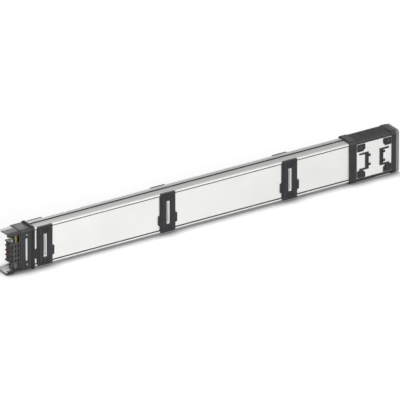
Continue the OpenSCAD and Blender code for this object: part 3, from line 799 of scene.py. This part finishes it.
# %% [markdown]
# ### Casing paint
#
# The casing is folded from galvanised sheet with a smooth off-white coat. Baked paint has a
# faint orange peel, its gloss varies a little, and along the folds the coat is thinner. Its
# corners and steps are darkened with painted shade.

# %% Casing paint
tinted_finish("casing_paint", pattern=(7.0, 3.0, 0.3, 0.7), gloss_pattern=(25.0, 4.0, 0.3, 0.7),
              tints=[(0.80, 0.80, 0.78, 1), (0.76, 0.76, 0.745, 1)],
              rough=(0.34, 0.46), grain=(520.0, 0.16),
              # Dark colour in the corners: painted shade that darkens the steps and seams into
              # lines.
              marks=[(shade_and_dust_group, {"Reach": 0.005, "Amount": 0.85}, (0.16, 0.155, 0.15, 1)),
                     (wear_and_sheen_group, {"Radius": 0.0008, "Amount": 0.55}, (0.42, 0.43, 0.44, 1))])

# %% [markdown]
# ### Mouldings
#
# The frames, rings and collar are charcoal thermoplastic from a spark-eroded mould: matt, with
# a very fine sandy texture, and a paler sheen painted along the edges as a highlight. The
# insulating parts inside are a harder, glass-filled grade with streaks where the melt flowed.
# The sleeve's lip is a soft grey one, and the inserts in the slots are nearly white; both are
# darker in their corners.

# %% Mouldings
tinted_finish("dark_moulding", pattern=(40.0, 4.0, 0.3, 0.7), gloss_pattern=(60.0, 3.0, 0.3, 0.7),
              tints=[(0.018, 0.019, 0.021, 1), (0.028, 0.029, 0.031, 1)],
              rough=(0.46, 0.62), grain=(1500.0, 0.35),
              # Paler colour along the edges: a painted highlight, a sheen.
              marks=[(wear_and_sheen_group, {"Radius": 0.0008, "Amount": 0.5}, (0.13, 0.13, 0.135, 1))])
tinted_finish("insulator_moulding", pattern=(160.0, 5.0, 0.35, 0.65, (0.12, 1.0, 1.0)),
              tints=[(0.05, 0.05, 0.053, 1), (0.085, 0.085, 0.088, 1)],
              rough=(0.5, 0.65), grain=(1100.0, 0.3))
tinted_finish("grey_moulding", pattern=(70.0, 4.0, 0.3, 0.7),
              tints=[(0.23, 0.23, 0.225, 1), (0.19, 0.19, 0.187, 1)],
              rough=(0.55, 0.7), grain=(1200.0, 0.25),
              marks=[(shade_and_dust_group, {"Reach": 0.004, "Amount": 0.6}, (0.08, 0.08, 0.078, 1))])
tinted_finish("light_moulding", pattern=(120.0, 3.0, 0.3, 0.7),
              tints=[(0.88, 0.88, 0.86, 1), (0.82, 0.82, 0.80, 1)],
              rough=(0.36, 0.48), grain=(900.0, 0.2),
              marks=[(shade_and_dust_group, {"Reach": 0.002, "Amount": 0.5}, (0.3, 0.3, 0.29, 1))])

# %% [markdown]
# ### Metals
#
# The bars are drawn aluminium with a dull tin coat: fine lines run along them. Contact plates
# are bare copper that darkens unevenly, earth parts are yellow-passivated, and screws and bolt
# are zinc plated, which has a faint cloudy pattern.

# %% Metals
TARNISH_SHARE = 0.35
LINE_STRENGTH = 0.25
LINE_DEPTH = 0.0001


def metal(name, bright, dull, rough, scale, stretch, lines):
    """A bare metal. One noise blends its bright and dull tint and its two roughness values,
    corners are darker, and a finer noise of the same stretch gives lines or grain as bump."""
    tree, shader = finish(name, 1.0)
    cloud = ramp(tree, object_noise(tree, scale, 4.0, stretch), 0.35, 0.68)
    tint = blend_colour(tree, cloud, bright, dull)
    tint = blend_colour(tree, use(tree, shade_and_dust_group, Reach=0.005, Amount=0.5), tint,
                        tuple(c * TARNISH_SHARE for c in dull[:3]) + (1,))
    height = object_noise(tree, lines, 3.0, stretch)
    bump = add(tree, "Bump", {"Height": height, "Strength": LINE_STRENGTH, "Distance": LINE_DEPTH})
    connect(tree, shader, Base_Color=tint, Roughness=ramp(tree, cloud, 0.0, 1.0, *rough),
            Normal=bump.outputs[0])
    print(f"{name}: {len(tree.nodes)} nodes")


metal("tinned_bar", bright=(0.74, 0.74, 0.73, 1), dull=(0.58, 0.58, 0.58, 1),
      rough=(0.26, 0.42), scale=60.0, stretch=(0.02, 1.0, 1.0), lines=1800.0)
metal("contact_copper", bright=(0.66, 0.39, 0.27, 1), dull=(0.38, 0.21, 0.14, 1),
      rough=(0.26, 0.48), scale=120.0, stretch=(0.5, 1.0, 1.0), lines=1500.0)
metal("earth_brass", bright=(0.80, 0.64, 0.30, 1), dull=(0.62, 0.47, 0.22, 1),
      rough=(0.25, 0.42), scale=140.0, stretch=(1.0, 1.0, 1.0), lines=1400.0)
metal("plated_steel", bright=(0.60, 0.61, 0.62, 1), dull=(0.44, 0.45, 0.47, 1),
      rough=(0.24, 0.40), scale=300.0, stretch=(1.0, 1.0, 1.0), lines=2200.0)

# %% [markdown]
# ### Blackened steel
#
# Clamps, brackets and screws on the sleeve are blackened steel. The black is an oxide and hides
# the metal, so it is shaded as a non-metal. It is thin, and pale steel looks through along
# every rubbed edge.

# %% Blackened steel
tinted_finish("dark_steel", pattern=(80.0, 3.0, 0.3, 0.7),
              tints=[(0.02, 0.02, 0.022, 1), (0.032, 0.032, 0.034, 1)],
              rough=(0.32, 0.44), grain=(700.0, 0.2),
              marks=[(wear_and_sheen_group, {"Radius": 0.0007, "Amount": 0.8}, (0.30, 0.30, 0.31, 1))])

# %% [markdown]
# ### Rubber
#
# Seams and outlet frames are sealed with black rubber, and the black beads along the panel edges
# paint a shadow line in the same rubber. It is matt, and a little paler in patches that run along
# the seals.

# %% Rubber
tinted_finish("seal_rubber", pattern=(90.0, 4.0, 0.35, 0.75, (0.3, 1.0, 1.0)),
              tints=[(0.012, 0.012, 0.012, 1), (0.03, 0.03, 0.029, 1)],
              rough=(0.62, 0.8), grain=(1200.0, 0.3))

# %% [markdown]
# ## Dressing the pieces
#
# The record says which finish each CAD node takes. The nodes keep their meshes: only their
# material slots are filled. Pieces made here carry the same slot names.

# %% Give every piece its finish
for entry in frame["record"]["subparts"]:
    obj = nodes[entry["node"]]
    for slot in obj.material_slots:
        slot.link = "OBJECT"
        slot.material = finishes[entry["material_slot"]]

for obj, slot in own_pieces:
    obj.data.materials.append(finishes[slot])

# %% [markdown]
# ### Broken edges
#
# No moulding or machined part has a perfectly sharp edge. A Weld joins the CAD mesh's loose
# triangles, a planar Decimate turns flat areas back into whole faces, and a Bevel then rounds
# only the edges that turn sharply. All three are modifiers, so the CAD mesh underneath stays
# untouched. The two rings of the sleeve keep their triangles: their end faces run round a large
# opening, and one whole face can't have a hole.

# %% Round the edges of mouldings and metal parts
EDGE_WIDTH_MM = {"dark_moulding": 0.5, "insulator_moulding": 0.4, "light_moulding": 0.3,
                 "grey_moulding": 0.4, "tinned_bar": 0.4, "dark_steel": 0.35,
                 "plated_steel": 0.3, "contact_copper": 0.25, "earth_brass": 0.2,
                 "casing_paint": 0.25}
FLAT_WITHIN = math.radians(0.5)
SHARP_PAST = math.radians(40)
RINGS = ("seat_ring", "mouth_ring")
rounded = [entry for entry in frame["record"]["subparts"]
           if entry["material_slot"] in EDGE_WIDTH_MM]
for entry in rounded:
    obj = nodes[entry["node"]]
    weld = obj.modifiers.new("weld", "WELD")
    weld.merge_threshold = SAME_POINT
    if entry["node"] not in RINGS:
        flat = obj.modifiers.new("flat", "DECIMATE")
        flat.decimate_type = "DISSOLVE"
        flat.angle_limit = FLAT_WITHIN
    bevel = obj.modifiers.new("bevel", "BEVEL")
    bevel.width = EDGE_WIDTH_MM[entry["material_slot"]] * MM
    bevel.segments = 2
    bevel.limit_method = "ANGLE"
    bevel.angle_limit = SHARP_PAST
print(len(rounded), "CAD nodes have broken edges")

# %% [markdown]
# ## The studio
#
# Two large soft lights stand low in front: the stronger one on the left, the weaker one on the
# right. Low light falls full on the upright faces and only grazes the top, so the three
# directions of the part get three tones. A smaller light behind keeps the back readable. The
# floor looks white to the camera, but not where the part closes it in: there Ambient Occlusion
# takes the white away, which paints a contact shadow, a thin dark line under the part. It lies a
# hair below the part, because two faces in the same plane would flicker.

# %% Floor
FLOOR_SIZE = 60.0
FLOOR_GAP = 0.2 * MM
PAINTED_SHADOW_REACH = 0.045
FLOOR_GLOW = (0.77, 0.77, 0.77, 1)
floor_mesh = bpy.data.meshes.new("floor")
floor_corners = [(x * FLOOR_SIZE / 2, y * FLOOR_SIZE / 2, -FLOOR_GAP)
                 for x, y in ((-1, -1), (1, -1), (1, 1), (-1, 1))]
floor_mesh.from_pydata(floor_corners, [], [(0, 1, 2, 3)])
floor = bpy.data.objects.new("floor", floor_mesh)
bpy.context.scene.collection.objects.link(floor)
tree, shader = finish("floor_finish")
shader.inputs["Base Color"].default_value = (0.5, 0.5, 0.5, 1)
shader.inputs["Roughness"].default_value = 0.9
shader.inputs["Specular IOR Level"].default_value = 0.0
shader.inputs["Emission Strength"].default_value = 1.0
seen = add(tree, "LightPath").outputs["Is Camera Ray"]
# Ambient Occlusion dims the floor's glow near the part: a painted contact shadow.
open_floor = add(tree, "AmbientOcclusion", {"Distance": PAINTED_SHADOW_REACH}, samples=16).outputs["AO"]
lit = maths(tree, "MULTIPLY", seen, ramp(tree, open_floor, 0.5, 1.0))
glow = blend_colour(tree, lit, (0, 0, 0, 1), FLOOR_GLOW)
connect(tree, shader, Emission_Color=glow)
floor_mesh.materials.append(finishes["floor_finish"])
print(f"floor {FLOOR_SIZE:.0f} m wide")

# %% [markdown]
# ### Lamps
#
# Every lamp is a square that faces the middle of the part. The larger a lamp is, the softer is
# the edge of its shadow, and the wider is its streak on a glossy face.

# %% Lamps
PART_MIDDLE = Vector((0, 0, 0.08))


def soft_light(name, place, size, power):
    """A square lamp at a place, turned towards the middle of the part."""
    lamp = bpy.data.lights.new(name, "AREA")
    lamp.shape = "SQUARE"
    lamp.size = size
    lamp.energy = power
    obj = bpy.data.objects.new(name, lamp)
    obj.location = place
    obj.rotation_euler = (Vector(place) - PART_MIDDLE).to_track_quat("Z", "Y").to_euler()
    bpy.context.scene.collection.objects.link(obj)
    print(f"{name}: {power} W from {place}")


soft_light("key_light", (-1.6, -3.8, 1.3), 2.2, 146)
soft_light("fill_light", (2.6, -3.4, 1.0), 2.4, 58)
soft_light("back_light", (0.9, 3.6, 0.5), 0.8, 100)

# %% [markdown]
# ### Sky
#
# The sky only fills the shadows. It counts as white where it is seen directly or mirrored in
# metal, and stays dim as a light.

# %% Sky
SKY_STRENGTH = 0.2
world = bpy.data.worlds.new("studio")
world.use_nodes = True
bpy.context.scene.world = world
tree = world.node_tree
background = tree.nodes["Background"]
rays = add(tree, "LightPath")
seen = maths(tree, "MAXIMUM", rays.outputs["Is Camera Ray"], rays.outputs["Is Glossy Ray"])
seen = maths(tree, "MAXIMUM", seen, rays.outputs["Is Transmission Ray"])
background.inputs["Color"].default_value = (1, 1, 1, 1)
tree.links.new(ramp(tree, seen, 0.0, 1.0, SKY_STRENGTH, 1.0), background.inputs["Strength"])
bpy.context.scene.view_settings.view_transform = "Standard"
print(f"sky of strength {SKY_STRENGTH} as a light and 1 where it is seen")
